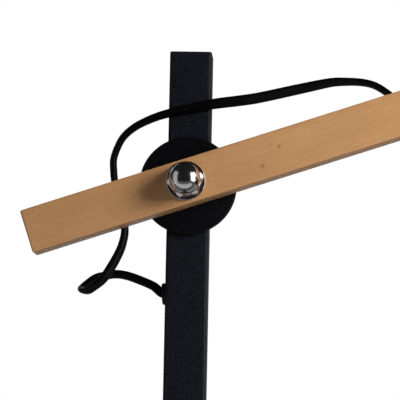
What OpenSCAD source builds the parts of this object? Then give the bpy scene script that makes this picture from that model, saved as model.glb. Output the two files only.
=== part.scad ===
// Floor lamp: a square steel post on a round base carries a wooden arm on a friction pivot,
// and a fabric drum shade hangs from a swivel knuckle at the arm's end.
// Millimetres. +Z is up, the arm points to +X and the front is -Y.
// The origin lies on the floor, under the middle of the post.

/* [Base] */
// Diameter of the round base plate
base_d = 300; // [260:5:360]
// Thickness of the base plate
base_t = 12; // [8:1:20]
// Chamfer on the base plate's edges
base_edge = 1.5; // [0.5:0.5:3]
// Thickness of the felt under the base
felt_t = 2; // [1:0.5:4]
// Distance from the base's edge to the felt's edge
felt_inset = 4; // [2:1:10]
// Thread diameter of the two base screws
base_screw_d = 5; // [4:0.5:6]
// Distance between the two base screws
base_screw_pitch = 16; // [14:0.5:17]
// How far the base screws reach into the foot plug
base_screw_grip = 16; // [10:1:19]

/* [Post] */
// Width of the square post
post_w = 25; // [24:0.5:30]
// Wall of the post tube
post_wall = 2; // [1.5:0.25:2.5]
// Radius of the post's outer corners
post_corner = 2; // [1:0.25:3]
// Height of the arm's pivot above the floor
pivot_h = 1200; // [1000:10:1400]
// How far the post reaches above the pivot
post_above = 81; // [60:1:120]
// Height of the steel plug in the post's foot
foot_plug_h = 30; // [20:1:50]
// Thickness of the top cap's plate
cap_plate = 2; // [1:0.5:4]
// Depth of the top cap's plug
cap_plug = 14; // [8:1:25]
// Play of the plugs in the tube, on each side
plug_play = 0.2; // [0.1:0.05:0.4]
// Width of the terminal block
terminal_w = 14; // [12:1:16]
// Depth of the terminal block
terminal_depth = 10; // [8:1:14]
// Height of the terminal block
terminal_h = 18; // [14:1:24]
// Diameter of the terminal block's wire holes
terminal_bore = 3; // [2:0.5:3.5]

/* [Grommets] */
// Distance from the pivot down to the flex grommet
grommet_drop = 63.5; // [55:0.5:90]
// Diameter of the grommets' flanges
grommet_flange_d = 13; // [12.5:0.25:16]
// How far the grommets stand out of the post
grommet_proud = 2.4; // [1.5:0.1:4]
// Bore of the flex grommet
grommet_bore = 7.8; // [6.8:0.1:8.2]
// Bore of the mains grommet
mains_bore = 7; // [6:0.1:7.4]
// Wall of a grommet's neck
grommet_neck = 1.5; // [1:0.1:2]
// Height of a grommet's inner lip, along its axis
grommet_lip = 1.6; // [1:0.1:2.5]
// Height of the mains grommet above the terminal block's top
mains_rise = 14; // [10:1:30]

/* [Pivot] */
// Diameter of the disc behind the arm
disc_d = 58; // [54:1:70]
// Thickness of the disc
disc_t = 5; // [4:0.25:8]
// Chamfer on the disc's rims
disc_edge = 0.8; // [0.2:0.1:1.5]
// Diameter of the two pins that keep the disc from turning
disc_pin_d = 4; // [3:0.5:4.5]
// Distance between the two pins
disc_pin_pitch = 32; // [28:1:38]
// Depth of the blind holes for the pins in the disc's back
disc_pin_depth = 3; // [2:0.25:3.5]
// How far the pins reach past the post's front wall
disc_pin_tail = 3; // [1:0.5:8]
// Diameter of the fibre washer between disc and arm
fibre_d = 25; // [22:0.5:26]
// Thickness of the fibre washer
fibre_t = 0.6; // [0.4:0.1:1.5]
// Running gap between the fibre washer and the arm
arm_gap = 0.1; // [0.05:0.05:0.3]
// Diameter of the pivot bolt
bolt_d = 12; // [10:0.5:13]
// Diameter of the pivot bolt's head
bolt_head_d = 20; // [18:0.5:23]
// Height of the pivot bolt's domed head
bolt_head_h = 6.5; // [5:0.5:8]
// Diameter of the washer under the bolt's head
rear_washer_d = 24; // [20:0.5:26]
// Thickness of the washer under the bolt's head
rear_washer_t = 2; // [1:0.1:3]
// Wall of the spacer sleeve inside the post
spacer_wall = 2.5; // [2:0.25:3.5]
// Diameter of the washer between the arm and the cap nut
cap_washer_d = 23; // [21:0.5:28]
// Thickness of that washer
cap_washer_t = 2; // [1:0.1:3]
// Gap between that washer and the arm
cap_gap = 0.15; // [0.1:0.05:0.3]
// Width of the domed cap nut across its flats
nut_flats = 19; // [18:0.25:22]
// Height of the cap nut's hexagon
nut_hex_h = 10; // [8:0.5:12]
// Overall height of the cap nut
nut_h = 22; // [20:0.5:26]
// Diameter of the cap nut's dome
dome_d = 18; // [17:0.25:18]
// Depth of the cap nut's thread
nut_bore_h = 16; // [12:0.5:17]
// Turn of the cap nut's corners, in degrees
nut_turn = 11; // [0:1:60]
// Wall of the bearing sleeve in the arm
bush_wall = 2; // [1:0.25:2.5]

/* [Arm] */
// Height of the wooden arm
arm_h = 26; // [24:0.5:36]
// Thickness of the wooden arm, front to back
arm_t = 22; // [20:0.5:30]
// Radius of the arm's eased edges
arm_edge = 0.8; // [0.3:0.1:2]
// Length of the arm's tail, from the pivot to its left end
arm_tail = 98; // [70:1:160]
// Reach of the arm, from the pivot to its right end
arm_reach = 700; // [550:5:850]
// Upward tilt of the arm at rest, in degrees
arm_tilt = 18.5; // [0:0.5:30]

/* [Flex] */
// Width of the flat twin flex
flex_w = 6.2; // [5:0.1:6.4]
// Thickness of the flat twin flex
flex_t = 3.5; // [2.5:0.1:3.8]
// Distance along the arm from the pivot to the flex's entry
flex_entry = 136; // [120:1:160]
// Bore of the bush where the flex enters the arm
entry_bore = 7.2; // [6.6:0.1:7.4]
// Wall of that bush's neck
entry_neck = 1; // [0.6:0.1:1.4]
// Diameter of that bush's flange
entry_flange_d = 13; // [12.5:0.5:16]
// Thickness of that bush's flange
entry_flange_t = 1.8; // [1:0.1:2.4]
// Width of the groove in the arm's back
groove_w = 7; // [6.6:0.1:9]
// Thickness of the strip that closes the groove
cover_t = 3; // [2:0.25:4]
// Room in the groove over the flex
groove_room = 1.3; // [0.5:0.1:2]

/* [Knuckle] */
// Distance from the arm's right end to the knuckle
knuckle_inset = 22; // [16:1:40]
// Diameter of the knuckle's round bodies
knuckle_d = 20; // [18:0.5:24]
// Length of each round body
knuckle_body = 12; // [10:0.5:18]
// Thickness of each knuckle ear
ear_t = 7; // [5:0.25:8]
// Gap between the two ears
ear_gap = 0.3; // [0.2:0.05:0.6]
// Diameter of the knuckle's friction screw
knuckle_screw_d = 5; // [4:0.5:6]
// Diameter of the friction screw's knurled head
thumb_d = 14; // [12:0.5:18]
// Height of the friction screw's head
thumb_h = 8; // [6:0.5:12]
// Width across the corners of the knuckle's nut
knuckle_nut_d = 9.2; // [8.5:0.1:12]
// Thickness of the knuckle's nut
knuckle_nut_t = 4; // [3:0.25:6]
// Diameter of the hollow threaded nipple and of the stem
nipple_d = 10; // [9:0.25:12]
// Bore of the nipple and of the stem
nipple_bore = 8; // [6:0.25:8.25]
// How far nipple and stem go into a knuckle body
nipple_depth = 8; // [6:0.5:9]
// Wall of the threaded insert in the arm
insert_wall = 2; // [1.5:0.25:3]
// Height of the threaded insert
insert_h = 9; // [6:0.5:10]

/* [Lampholder] */
// Visible length of the stem, from the knuckle to the lampholder
stem_drop = 32; // [25:1:60]
// Diameter of the lampholder
holder_d = 40; // [39:0.5:46]
// Wall of the lampholder's cap
holder_wall = 2; // [1.5:0.25:3]
// Height of the cap's neck round the stem
neck_h = 8; // [6:0.5:12]
// Wall of the cap's neck
neck_wall = 3; // [2:0.25:4]
// Height of the cap's shoulder, from neck to full diameter
cap_shoulder = 6; // [4:0.5:10]
// Height of the cap's straight skirt
cap_skirt = 14; // [12:0.5:20]
// Height of the lampholder body above its shade collar
body_upper = 12; // [8:0.5:18]
// Height of the shade collar
collar_h = 4; // [3:0.5:6]
// How far the shade collar stands out
collar_proud = 4; // [3:0.25:6]
// Height of the threaded skirt below the shade collar
body_lower = 20; // [16:0.5:26]
// Wall of the threaded skirt
skirt_wall = 2.5; // [1.5:0.25:3]
// Thickness of the ceramic core's flange
core_flange = 4; // [3:0.5:6]
// Depth of the ceramic core inside the body
core_depth = 6; // [4:0.5:8]
// Thickness of the centre contact
contact_t = 1.5; // [1:0.25:2]
// Diameter of the centre contact
contact_d = 8; // [6:0.5:10]
// Diameter of the switch key's spindle
key_spindle_d = 5; // [4:0.5:6]
// Diameter of the switch key's collar
key_collar_d = 10; // [8:0.5:11]
// Height of the switch key's collar
key_collar_h = 3; // [2:0.25:5]
// Length of the switch key's wing
key_wing_l = 10; // [6:0.5:14]
// Width of the switch key's wing
key_wing_w = 16; // [12:0.5:20]
// Thickness of the switch key's wing
key_wing_t = 4; // [2.5:0.25:6]

/* [Shade] */
// Diameter of the drum shade
shade_d = 260; // [220:5:280]
// Height of the drum shade
shade_h = 190; // [160:5:230]
// Thickness of the lined fabric
fabric_t = 1.2; // [0.8:0.1:2]
// Diameter of the shade's ring wire
wire_d = 4; // [3:0.25:5]
// Distance from the shade's edges to the middle of its rings
ring_inset = 3; // [2.6:0.1:6]
// Thickness of the spider's fitting ring
fitting_t = 2; // [1.5:0.25:3]
// Width of the spider's fitting ring
fitting_w = 7; // [6:0.5:10]
// Number of spider arms
spider_arms = 3; // [2:1:5]
// Height of the shade's ring nut
shade_nut_h = 7; // [5:0.5:10]
// Wall of the shade's ring nut
shade_nut_wall = 5; // [3:0.5:7]

/* [Bulb] */
// Diameter of the bulb's screw cap
bulb_cap_d = 26; // [24:0.25:26.5]
// Height of the bulb's screw cap
bulb_cap_h = 24; // [20:0.5:28]
// Diameter of the bulb's globe
bulb_d = 60; // [45:1:80]
// Height of the globe's middle below the screw cap
bulb_drop = 62; // [55:1:80]
// Wall of the globe
bulb_wall = 1; // [0.6:0.1:1.5]

/* [Hidden] */
// Smoothness of round shapes
$fn = 64;
// Overlap of cuts past a face
cut = 1;
// Gap between pieces that are pressed, screwed or glued together
fit_gap = 0.05;
// Running gap of a turning piece, on the radius
run_gap = 0.05;
// Gap of a plain clearance hole, on the radius
hole_gap = 0.2;
// Gap between an ear's rim and the other knuckle body
rim_gap = 0.3;
// Height of a countersunk head as a share of the thread, and its width likewise
countersink_h = 0.55;
countersink_d = 2;

// Heights of the stand
base_top = felt_t + base_t;
plug_top = base_top + foot_plug_h;
terminal_top = plug_top + terminal_h;
mains_z = terminal_top + mains_rise;
post_top = pivot_h + post_above;
post_in = post_w - 2 * post_wall;
grommet_z = pivot_h - grommet_drop;

// Depths at the pivot, from the post's front face forwards
post_front = -post_w / 2;
disc_front = post_front - disc_t;
fibre_front = disc_front - fibre_t;
arm_back = fibre_front - arm_gap;
arm_mid = arm_back - arm_t / 2;
arm_front = arm_back - arm_t;
cap_washer_back = arm_front - cap_gap;
nut_seat = cap_washer_back - cap_washer_t;
bolt_tip = nut_seat - nut_bore_h + cut / 2;
bolt_root = post_w / 2 + rear_washer_t;

// The arm's own places, measured along it and across it
bush_d = bolt_d + 2 * bush_wall;
groove_d = cover_t + groove_room + flex_t;
groove_floor = arm_t / 2 - groove_d;
entry_neck_d = entry_bore + 2 * entry_neck;
knuckle_x = arm_reach - knuckle_inset;
insert_d = nipple_d + 2 * insert_wall;
hinge_drop = arm_h / 2 + knuckle_body + knuckle_d / 2;
cover_start = flex_entry + entry_flange_d / 2 + cut;
cover_end = knuckle_x - nipple_d / 2 - cut;

// The head's hinge, and heights below it
hinge_x = knuckle_x * cos(arm_tilt) + hinge_drop * sin(arm_tilt);
hinge_z = pivot_h + knuckle_x * sin(arm_tilt) - hinge_drop * cos(arm_tilt);
knuckle_end = -knuckle_d / 2 - knuckle_body;
holder_top = knuckle_end - stem_drop;
cap_rim = holder_top - neck_h - cap_shoulder - cap_skirt;
collar_top = cap_rim - body_upper;
collar_bottom = collar_top - collar_h;
body_end = collar_bottom - body_lower;
key_z = cap_rim + core_flange + (cap_skirt - core_flange) / 2;
contact_bottom = cap_rim - core_depth - contact_t;
bulb_top = contact_bottom - 2 * fit_gap;
bulb_cap_end = bulb_top - bulb_cap_h;
globe_z = bulb_cap_end - bulb_drop;
fitting_z = collar_bottom - fitting_t / 2;
shade_top = fitting_z + ring_inset;
shade_bottom = shade_top - shade_h;
ring_r = shade_d / 2 - fabric_t - wire_d / 2 - hole_gap;
thread_d = holder_d - 1;
socket_r = bulb_cap_d / 2 + hole_gap;

// Route of the flex from the post to the arm, from the pivot: x, y, z and the flat's turn in degrees
jumper_route = [
    [-10.5, 0, -63.5, 46],
    [-15, 0, -63, 46],
    [-20, 0.5, -59, 46],
    [-28, 2.5, -55.5, 45],
    [-36.5, 6, -52.5, 44],
    [-43.5, 8.5, -51.5, 38],
    [-50, 9.5, -52.5, 35],
    [-55, 8.5, -54, 37],
    [-59, 4, -57.5, 40],
    [-62, -2.5, -61.5, 36],
    [-59, -10, -63, 26],
    [-54.5, -14, -60.5, 22],
    [-50, -15, -57, 21],
    [-46.5, -15, -52.5, 21],
    [-41, -14.5, -42.5, 26],
    [-38, -14.5, -34.5, 38],
    [-37, -14.5, -25.5, 46],
    [-40, -14.5, -12, 51],
    [-43.5, -14.5, 1.5, 55],
    [-44.5, -14.5, 10, 57],
    [-44.5, -14.5, 15.5, 61],
    [-42.5, -14.5, 22, 62],
    [-39, -15, 28.5, 56],
    [-33, -15.5, 34, 49],
    [-25, -15.5, 38.5, 42],
    [-14.5, -15.5, 42.5, 33],
    [0.5, -15.5, 46, 16],
    [14, -15.5, 49, -2],
    [30, -14, 51.5, -19],
    [42, -11, 54, -18],
    [65.5, -4, 60.5, -5],
    [83, 0, 65, 20],
    [92, 2, 66, 36],
    [101, 3, 66, 48],
    [109, 3, 64.5, 54],
    [116, 1.5, 60.5, 54],
    [122.5, -3, 54.5, 54],
    [127, -9, 47, 54],
    [129, -14.5, 43.5, 54],
    [129, -20.5, 43, 54]
];
// The flat's wide direction where the flex leaves the post
jumper_side = [0, 0, 1];
// Rings between two points of a flex's route
jumper_steps = 2;
// Corners of a flex's flat section
flex_sides = 12;

// Places that pieces are modelled in

// On the pivot's axis at depth y, with +Z towards the front
module on_pivot(y) {
    translate([0, y, pivot_h]) rotate([90, 0, 0]) children();
}

// On the arm: +X along it, +Z up across it, the pivot's axis at x = 0
module on_arm() {
    translate([0, arm_mid, pivot_h]) rotate([0, -arm_tilt, 0]) children();
}

// On the head's hinge, upright
module on_head() {
    translate([hinge_x, arm_mid, hinge_z]) children();
}

// Shapes that repeat

// A rectangle with rounded corners
module soft_rectangle(w, h, r) {
    square([w - 2 * r, h], center = true);
    square([w, h - 2 * r], center = true);
    for (x = [-1, 1], y = [-1, 1]) {
        translate([x * (w / 2 - r), y * (h / 2 - r)]) circle(r);
    }
}

// A disc from z = 0 upwards with both rims chamfered
module rim_disc(d, t, edge) {
    rotate_extrude() polygon([
        [0, 0], [d / 2 - edge, 0], [d / 2, edge], [d / 2, t - edge], [d / 2 - edge, t], [0, t]
    ]);
}

// A plain ring from z = 0 upwards
module ring(d, bore, t) {
    difference() {
        cylinder(d = d, h = t);
        translate([0, 0, -cut]) cylinder(d = bore, h = t + 2 * cut);
    }
}

// A round wire bent into a ring
module wire_ring(r) {
    rotate_extrude() translate([r, 0]) circle(d = wire_d, $fn = 24);
}

// A countersunk screw with its head's face at z = 0 and its shank along -Z
module countersunk(d, length) {
    head = d * countersink_h;
    cylinder(d = d, h = length * 2, center = true);
    translate([0, 0, -head]) cylinder(d1 = d, d2 = d * countersink_d, h = head);
}

// The same screw, cut flush at its face
module flush_screw(d, length) {
    intersection() {
        countersunk(d, length);
        translate([0, 0, -length]) cylinder(d = d * countersink_d + cut, h = length);
    }
}

// The hole that such a screw needs
module screw_hole(d, length) {
    countersunk(d + 2 * fit_gap, length);
    cylinder(d = (d + 2 * fit_gap) * countersink_d, h = cut);
}

// A grommet in a wall: the wall's outer face is z = 0 and the wall lies below
module grommet(bore) {
    neck_r = bore / 2 + grommet_neck;
    flange_r = grommet_flange_d / 2;
    back = -post_wall - grommet_lip;
    soft = grommet_proud / 2;
    rotate_extrude() polygon([
        [bore / 2 + soft / 2, grommet_proud], [flange_r - soft, grommet_proud],
        [flange_r, grommet_proud - soft], [flange_r, 0], [neck_r, 0], [neck_r, -post_wall],
        [neck_r + grommet_neck, -post_wall], [neck_r + grommet_neck / 2, back],
        [bore / 2, back], [bore / 2, grommet_proud - soft / 2]
    ]);
}

// One half of the swivel knuckle: its ear is centred on the hinge and its body lies above
module knuckle_half() {
    ear_r = knuckle_d / 2 - rim_gap;
    difference() {
        union() {
            translate([0, 0, knuckle_d / 2]) cylinder(d = knuckle_d, h = knuckle_body);
            translate([0, ear_gap / 2, 0]) rotate([-90, 0, 0]) cylinder(r = ear_r, h = ear_t);
            translate([-ear_r, ear_gap / 2, 0]) cube([2 * ear_r, ear_t, knuckle_d / 2]);
        }
        rotate([-90, 0, 0])
            cylinder(d = knuckle_screw_d + 2 * run_gap, h = 2 * knuckle_d, center = true);
        translate([0, 0, knuckle_d / 2 + knuckle_body - nipple_depth])
            cylinder(d = nipple_d + 2 * fit_gap, h = nipple_depth + cut);
    }
}

// Functions that sweep the flat flex along its route

function along(p, i) = p[max(0, min(len(p) - 1, i))];

// A smooth curve through a, b, c and d, between b and c
function curve(a, b, c, d, u) = (2 * b + (c - a) * u + (2 * a - 5 * b + 4 * c - d) * u * u
    + (3 * b - a - 3 * c + d) * u * u * u) / 2;

function smooth_route(p, steps) = [
    for (i = [0 : len(p) - 2], k = [0 : steps - 1])
        curve(along(p, i - 1), p[i], p[i + 1], along(p, i + 2), k / steps),
    p[len(p) - 1]
];

function point(p, i) = [along(p, i)[0], along(p, i)[1], along(p, i)[2]];

function unit(v) = v / norm(v);

function heading(p, i) = unit(point(p, i + 1) - point(p, i - 1));

function square_to(side, t) = unit(side - (side * t) * t);

// The wide direction, carried along the route without twist
function carried(p, first) = [
    for (i = 0, side = square_to(first, heading(p, 0)); i < len(p);
        i = i + 1, side = square_to(side, heading(p, i))) side
];

// The corners of one ring of the flat section
function flat_ring(at, t, side, turn) =
    let (other = cross(t, side))
    let (wide = side * cos(turn) + other * sin(turn))
    let (thin = other * cos(turn) - side * sin(turn))
    [for (k = [0 : flex_sides - 1])
        at + wide * (flex_w / 2) * cos(360 * k / flex_sides)
           + thin * (flex_t / 2) * sin(360 * k / flex_sides)];

// A flat flex along a route of x, y, z and turn
module flex(route, first, steps) {
    p = smooth_route(route, steps);
    sides = carried(p, first);
    last = len(p) - 1;
    n = flex_sides;
    rings = [for (i = [0 : last]) each flat_ring(point(p, i), heading(p, i), sides[i], p[i][3])];
    walls = [for (i = [0 : last - 1], k = [0 : n - 1])
        let (a = i * n + k, b = i * n + (k + 1) % n) each [[a, a + n, b], [b, a + n, b + n]]];
    ends = [for (k = [1 : n - 2]) each [[0, k, k + 1], [last * n, last * n + k + 1, last * n + k]]];
    polyhedron(rings, concat(walls, ends), convexity = 6);
}

// The stand

module base_screw_places() {
    for (side = [-1, 1]) rotate(45) translate([side * base_screw_pitch / 2, 0, 0]) children();
}

module base_plate() {
    color("#1c1c1f") difference() {
        translate([0, 0, felt_t]) rim_disc(base_d, base_t, base_edge);
        base_screw_places() translate([0, 0, felt_t]) rotate([180, 0, 0])
            screw_hole(base_screw_d, base_t + cut);
    }
}

module base_felt() {
    color("#2a2a2a") cylinder(d = base_d - 2 * felt_inset, h = felt_t);
}

module base_screws() {
    color("silver") base_screw_places() translate([0, 0, felt_t]) rotate([180, 0, 0])
        flush_screw(base_screw_d, base_t + base_screw_grip);
}

module post_foot_plug() {
    w = post_in - 2 * plug_play;
    color("gray") difference() {
        translate([-w / 2, -w / 2, base_top]) cube([w, w, foot_plug_h]);
        base_screw_places() translate([0, 0, base_top - cut])
            cylinder(d = base_screw_d + 2 * fit_gap, h = base_screw_grip + 2 * cut);
    }
}

module terminal_block() {
    color("ivory") difference() {
        translate([-terminal_w / 2, -terminal_depth / 2, plug_top])
            cube([terminal_w, terminal_depth, terminal_h]);
        for (side = [-1, 1]) translate([side * terminal_w / 4, 0, plug_top - cut])
            cylinder(d = terminal_bore, h = terminal_h + 2 * cut);
    }
}

module post_tube() {
    flex_hole = grommet_bore + 2 * grommet_neck + 2 * fit_gap;
    mains_hole = mains_bore + 2 * grommet_neck + 2 * fit_gap;
    color("#18181b") difference() {
        translate([0, 0, base_top]) linear_extrude(post_top - cap_plate - base_top) difference() {
            soft_rectangle(post_w, post_w, post_corner);
            square(post_in, center = true);
        }
        on_pivot(0) cylinder(d = bolt_d + 2 * hole_gap, h = post_w + 2 * cut, center = true);
        disc_pin_places() cylinder(d = disc_pin_d + 2 * fit_gap, h = post_w / 2, center = true);
        translate([0, 0, grommet_z]) rotate([0, -90, 0]) cylinder(d = flex_hole, h = post_w);
        translate([0, 0, mains_z]) rotate([-90, 0, 0]) cylinder(d = mains_hole, h = post_w);
    }
}

module post_top_cap() {
    w = post_in - 2 * plug_play;
    color("#141416") {
        translate([0, 0, post_top - cap_plate]) linear_extrude(cap_plate)
            soft_rectangle(post_w, post_w, post_corner);
        translate([-w / 2, -w / 2, post_top - cap_plate - cap_plug]) cube([w, w, cap_plug + cut / 2]);
    }
}

module mains_grommet() {
    color("#101010") translate([0, post_w / 2, mains_z]) rotate([-90, 0, 0]) grommet(mains_bore);
}

module post_cord_grommet() {
    color("#101010") translate([-post_w / 2, 0, grommet_z]) rotate([0, -90, 0])
        grommet(grommet_bore);
}

// The flex inside the post ends where the outer stretch starts, at the tube's inner wall
module post_flex() {
    turn_r = post_in / 2 - flex_t / 2;
    end_x = post_wall - post_w / 2 + 5 * fit_gap;
    color("#121214") flex([
        [0, 0, terminal_top, 0],
        [0, 0, (terminal_top + grommet_z) / 2, 0],
        [0, 0, grommet_z - 3 * turn_r, 0],
        [0, 0, grommet_z - 1.4 * turn_r, 0],
        [-0.2 * turn_r, 0, grommet_z - 0.5 * turn_r, 0],
        [-0.5 * turn_r, 0, grommet_z - 0.1 * turn_r, 0],
        [end_x, 0, grommet_z, 0]
    ], [0, 1, 0], 2);
}

module disc_pin_places() {
    for (side = [-1, 1]) translate([0, 0, side * disc_pin_pitch / 2]) on_pivot(post_front)
        children();
}

module friction_disc() {
    color("#161618") difference() {
        on_pivot(post_front) rim_disc(disc_d, disc_t, disc_edge);
        on_pivot(post_front + cut) cylinder(d = bolt_d + 2 * hole_gap, h = disc_t + 2 * cut);
        disc_pin_places() translate([0, 0, -cut])
            cylinder(d = disc_pin_d + 2 * fit_gap, h = disc_pin_depth + cut);
    }
}

module disc_pins() {
    length = disc_pin_depth + post_wall + disc_pin_tail - fit_gap;
    color("silver") disc_pin_places() translate([0, 0, disc_pin_depth - fit_gap - length])
        cylinder(d = disc_pin_d, h = length);
}

module friction_washer() {
    color("#3a2a20") on_pivot(disc_front) ring(fibre_d, bolt_d + 2 * hole_gap, fibre_t);
}

module post_spacer() {
    color("silver") on_pivot(post_in / 2 - fit_gap)
        ring(bolt_d + 2 * hole_gap + 2 * spacer_wall, bolt_d + 2 * hole_gap, post_in - 2 * fit_gap);
}

// The bolt's domed head is a slice of a ball, cut by the washer's face
module pivot_bolt() {
    dome_r = (bolt_head_d * bolt_head_d / 4 + bolt_head_h * bolt_head_h) / (2 * bolt_head_h);
    color("#202022") on_pivot(bolt_root) {
        cylinder(d = bolt_d, h = bolt_root - bolt_tip);
        intersection() {
            translate([0, 0, dome_r - bolt_head_h]) sphere(dome_r);
            translate([0, 0, -bolt_head_h]) cylinder(d = bolt_head_d + cut, h = bolt_head_h);
        }
    }
}

module rear_washer() {
    color("#202022") on_pivot(bolt_root)
        ring(rear_washer_d, bolt_d + 2 * hole_gap, rear_washer_t);
}

module jumper_flex() {
    color("#121214") translate([0, 0, pivot_h]) flex(jumper_route, jumper_side, jumper_steps);
}

module cap_washer() {
    color("#d8dadd") on_pivot(cap_washer_back)
        ring(cap_washer_d, bolt_d + 2 * hole_gap, cap_washer_t);
}

// The hexagon's corners are turned off at a slope towards the dome
module cap_nut() {
    corner_d = nut_flats / cos(30);
    slope_h = (corner_d - dome_d) / 2 * tan(30);
    color("#d8dadd") on_pivot(nut_seat) difference() {
        union() {
            intersection() {
                rotate(nut_turn) cylinder(d = corner_d, h = nut_hex_h, $fn = 6);
                union() {
                    cylinder(d = corner_d, h = nut_hex_h - slope_h);
                    translate([0, 0, nut_hex_h - slope_h])
                        cylinder(d1 = corner_d, d2 = dome_d, h = slope_h);
                }
            }
            cylinder(d = dome_d, h = nut_h - dome_d / 2);
            translate([0, 0, nut_h - dome_d / 2]) sphere(d = dome_d);
        }
        translate([0, 0, -cut]) cylinder(d = bolt_d + 2 * fit_gap, h = nut_bore_h + cut);
    }
}

// The arm

module arm_bar() {
    entry_hole = entry_neck_d + 2 * fit_gap;
    color("#bf9060") on_arm() difference() {
        translate([-arm_tail, 0, 0]) rotate([90, 0, 90]) linear_extrude(arm_tail + arm_reach)
            soft_rectangle(arm_t, arm_h, arm_edge);
        rotate([90, 0, 0])
            cylinder(d = bush_d + 2 * fit_gap, h = arm_t + 2 * cut, center = true);
        translate([flex_entry, groove_floor, -groove_w / 2])
            cube([knuckle_x - flex_entry, groove_d + cut, groove_w]);
        translate([flex_entry, groove_floor, 0]) rotate([-90, 0, 0])
            cylinder(d = entry_hole, h = groove_d + cut);
        translate([knuckle_x, 0, -arm_h / 2 - cut])
            cylinder(d = insert_d + 2 * fit_gap, h = insert_h + cut);
        translate([knuckle_x, 0, -arm_h / 2])
            cylinder(d = nipple_d, h = arm_h / 2 + groove_w / 2);
    }
}

module arm_bush() {
    color("#d9c9a0") on_arm() translate([0, arm_t / 2, 0]) rotate([90, 0, 0])
        ring(bush_d, bolt_d + 2 * run_gap, arm_t);
}

module arm_cord_bush() {
    color("#101010") on_arm() translate([flex_entry, arm_t / 2, 0]) rotate([-90, 0, 0])
        difference() {
            union() {
                translate([0, 0, -cover_t]) cylinder(d = entry_neck_d, h = cover_t);
                rim_disc(entry_flange_d, entry_flange_t, entry_flange_t / 3);
            }
            translate([0, 0, -cover_t - cut])
                cylinder(d = entry_bore, h = cover_t + entry_flange_t + 2 * cut);
        }
}

// The flex in the arm starts inside the entry bush and lies on the groove's floor
module arm_flex() {
    lie = groove_floor + flex_t / 2 + fit_gap;
    start = arm_t / 2 - cover_t + fit_gap;
    color("#121214") on_arm() flex([
        [flex_entry, start, 0, 0],
        [flex_entry + 0.2 * flex_t, (start + lie) / 2, 0, 0],
        [flex_entry + 0.7 * flex_t, lie + 0.1 * flex_t, 0, 0],
        [flex_entry + 1.5 * flex_t, lie, 0, 0],
        [(flex_entry + cover_end) / 2, lie, 0, 0],
        [cover_end, lie, 0, 0]
    ], [0, 0, 1], 2);
}

module groove_cover() {
    w = groove_w - 2 * fit_gap;
    color("#c29665") on_arm() translate([cover_start, arm_t / 2 - cover_t, -w / 2])
        cube([cover_end - cover_start, cover_t, w]);
}

module arm_insert() {
    color("#b08d45") on_arm() translate([knuckle_x, 0, -arm_h / 2])
        ring(insert_d, nipple_d + 2 * fit_gap, insert_h);
}

module head_nipple() {
    color("silver") on_arm() translate([knuckle_x, 0, -arm_h / 2 - nipple_depth])
        ring(nipple_d, nipple_bore, nipple_depth + insert_h);
}

module knuckle_upper() {
    color("#1a1a1c") on_arm() translate([knuckle_x, 0, -hinge_drop]) knuckle_half();
}

module knuckle_screw() {
    front = -ear_gap / 2 - ear_t - rim_gap;
    back = ear_gap / 2 + ear_t + knuckle_nut_t + cut;
    color("silver") on_arm() translate([knuckle_x, front, -hinge_drop]) {
        rotate([-90, 0, 0]) cylinder(d = knuckle_screw_d, h = back - front);
        rotate([90, 0, 0]) rim_disc(thumb_d, thumb_h, disc_edge);
    }
}

module knuckle_nut() {
    color("silver") on_arm() translate([knuckle_x, ear_gap / 2 + ear_t, -hinge_drop])
        rotate([-90, 0, 0]) difference() {
            cylinder(d = knuckle_nut_d, h = knuckle_nut_t, $fn = 6);
            translate([0, 0, -cut])
                cylinder(d = knuckle_screw_d + 2 * fit_gap, h = knuckle_nut_t + 2 * cut);
        }
}

// The head

module knuckle_lower() {
    color("#1a1a1c") on_head() rotate([180, 0, 0]) knuckle_half();
}

module drop_stem() {
    length = nipple_depth + stem_drop + neck_h;
    color("silver") on_head() translate([0, 0, knuckle_end + nipple_depth - length])
        ring(nipple_d, nipple_bore, length);
}

module lampholder_cap() {
    neck_r = nipple_d / 2 + fit_gap;
    outer_r = holder_d / 2;
    shoulder = holder_top - neck_h - cap_shoulder;
    color("#1a1a1c") on_head() difference() {
        rotate_extrude() polygon([
            [neck_r, holder_top], [neck_r + neck_wall, holder_top],
            [neck_r + neck_wall, holder_top - neck_h + holder_wall],
            [outer_r - holder_wall, shoulder + holder_wall], [outer_r, shoulder],
            [outer_r, cap_rim], [outer_r - holder_wall, cap_rim],
            [outer_r - holder_wall, shoulder - holder_wall / 2],
            [neck_r + holder_wall, holder_top - neck_h - holder_wall / 2],
            [neck_r, holder_top - neck_h - holder_wall / 2]
        ]);
        translate([0, 0, key_z]) rotate([90, 0, 0])
            cylinder(d = key_spindle_d + 2 * run_gap, h = holder_d);
    }
}

module lampholder_body() {
    outer_r = holder_d / 2;
    collar_r = outer_r + collar_proud;
    color("#1a1a1c") on_head() rotate_extrude() polygon([
        [socket_r, cap_rim], [outer_r, cap_rim], [outer_r, collar_top], [collar_r, collar_top],
        [collar_r, collar_bottom], [thread_d / 2, collar_bottom], [thread_d / 2, body_end],
        [thread_d / 2 - skirt_wall, body_end], [thread_d / 2 - skirt_wall, collar_bottom],
        [socket_r, collar_bottom]
    ]);
}

module lampholder_core() {
    flange_r = holder_d / 2 - holder_wall - hole_gap;
    plug_r = socket_r - hole_gap;
    color("white") on_head() {
        translate([0, 0, cap_rim]) cylinder(r = flange_r, h = core_flange);
        translate([0, 0, cap_rim - core_depth]) cylinder(r = plug_r, h = core_depth + cut);
    }
}

module centre_contact() {
    color("gold") on_head() translate([0, 0, contact_bottom]) cylinder(d = contact_d, h = contact_t);
}

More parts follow.
